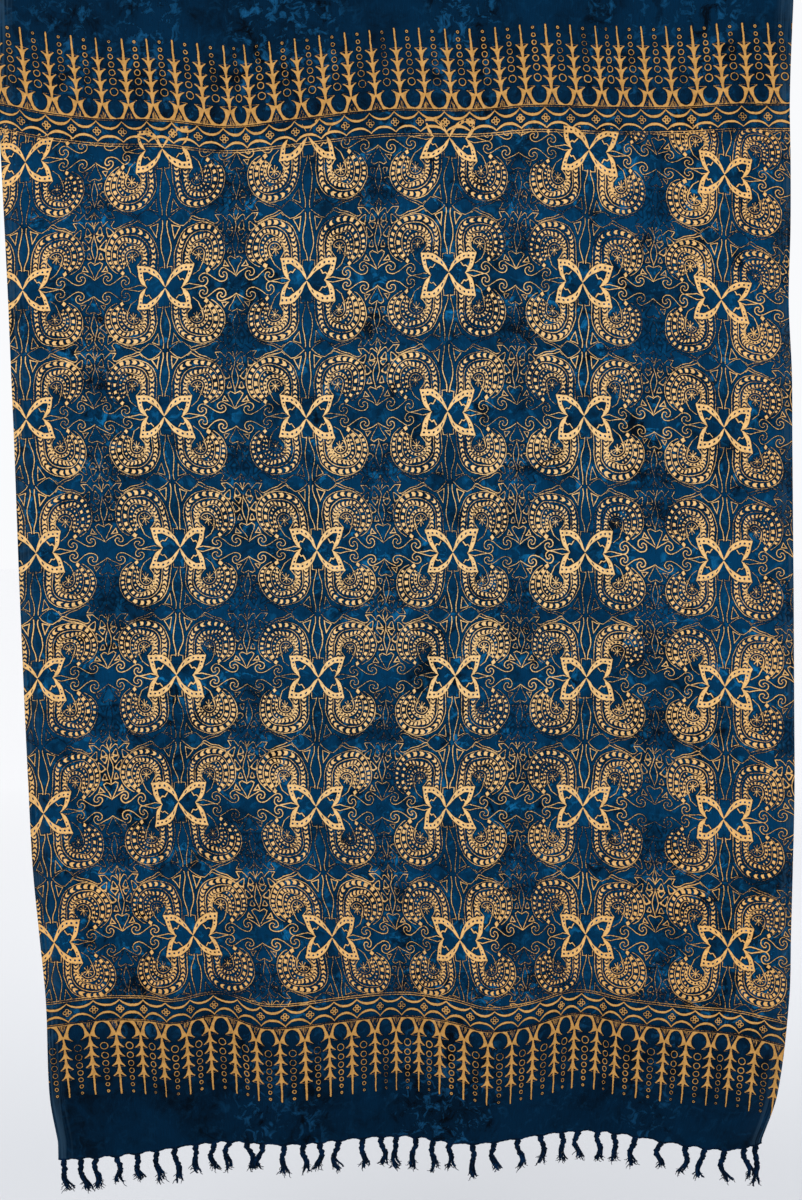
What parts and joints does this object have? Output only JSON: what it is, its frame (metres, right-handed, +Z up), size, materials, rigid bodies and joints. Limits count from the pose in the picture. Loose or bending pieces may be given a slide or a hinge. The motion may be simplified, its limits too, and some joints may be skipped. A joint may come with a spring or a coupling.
{
  "type": "sarong on hanging rod",
  "caption": "Rectangular fringed batik sarong hung flat from a round rod that its top end is folded over.",
  "frame": {"origin": "middle of the hanging rod's axis, which the cloth's top end is folded over", "axes": "+Z up, +X along the rod to the viewer's right, the printed front of the cloth facing -Y"},
  "size_m": [1.26, 0.058, 1.7353],
  "materials": {
    "rayon": "matt batik rayon, deep blue with a gold print",
    "fringe_yarn": "twisted navy rayon yarn",
    "rod_wood": "oiled dark wood"
  },
  "bodies": {
    "root": {"cloth": "rayon", "bottom_fringe": "fringe_yarn", "top_fringe": "fringe_yarn", "rod": "rod_wood"}
  },
  "joints": []
}
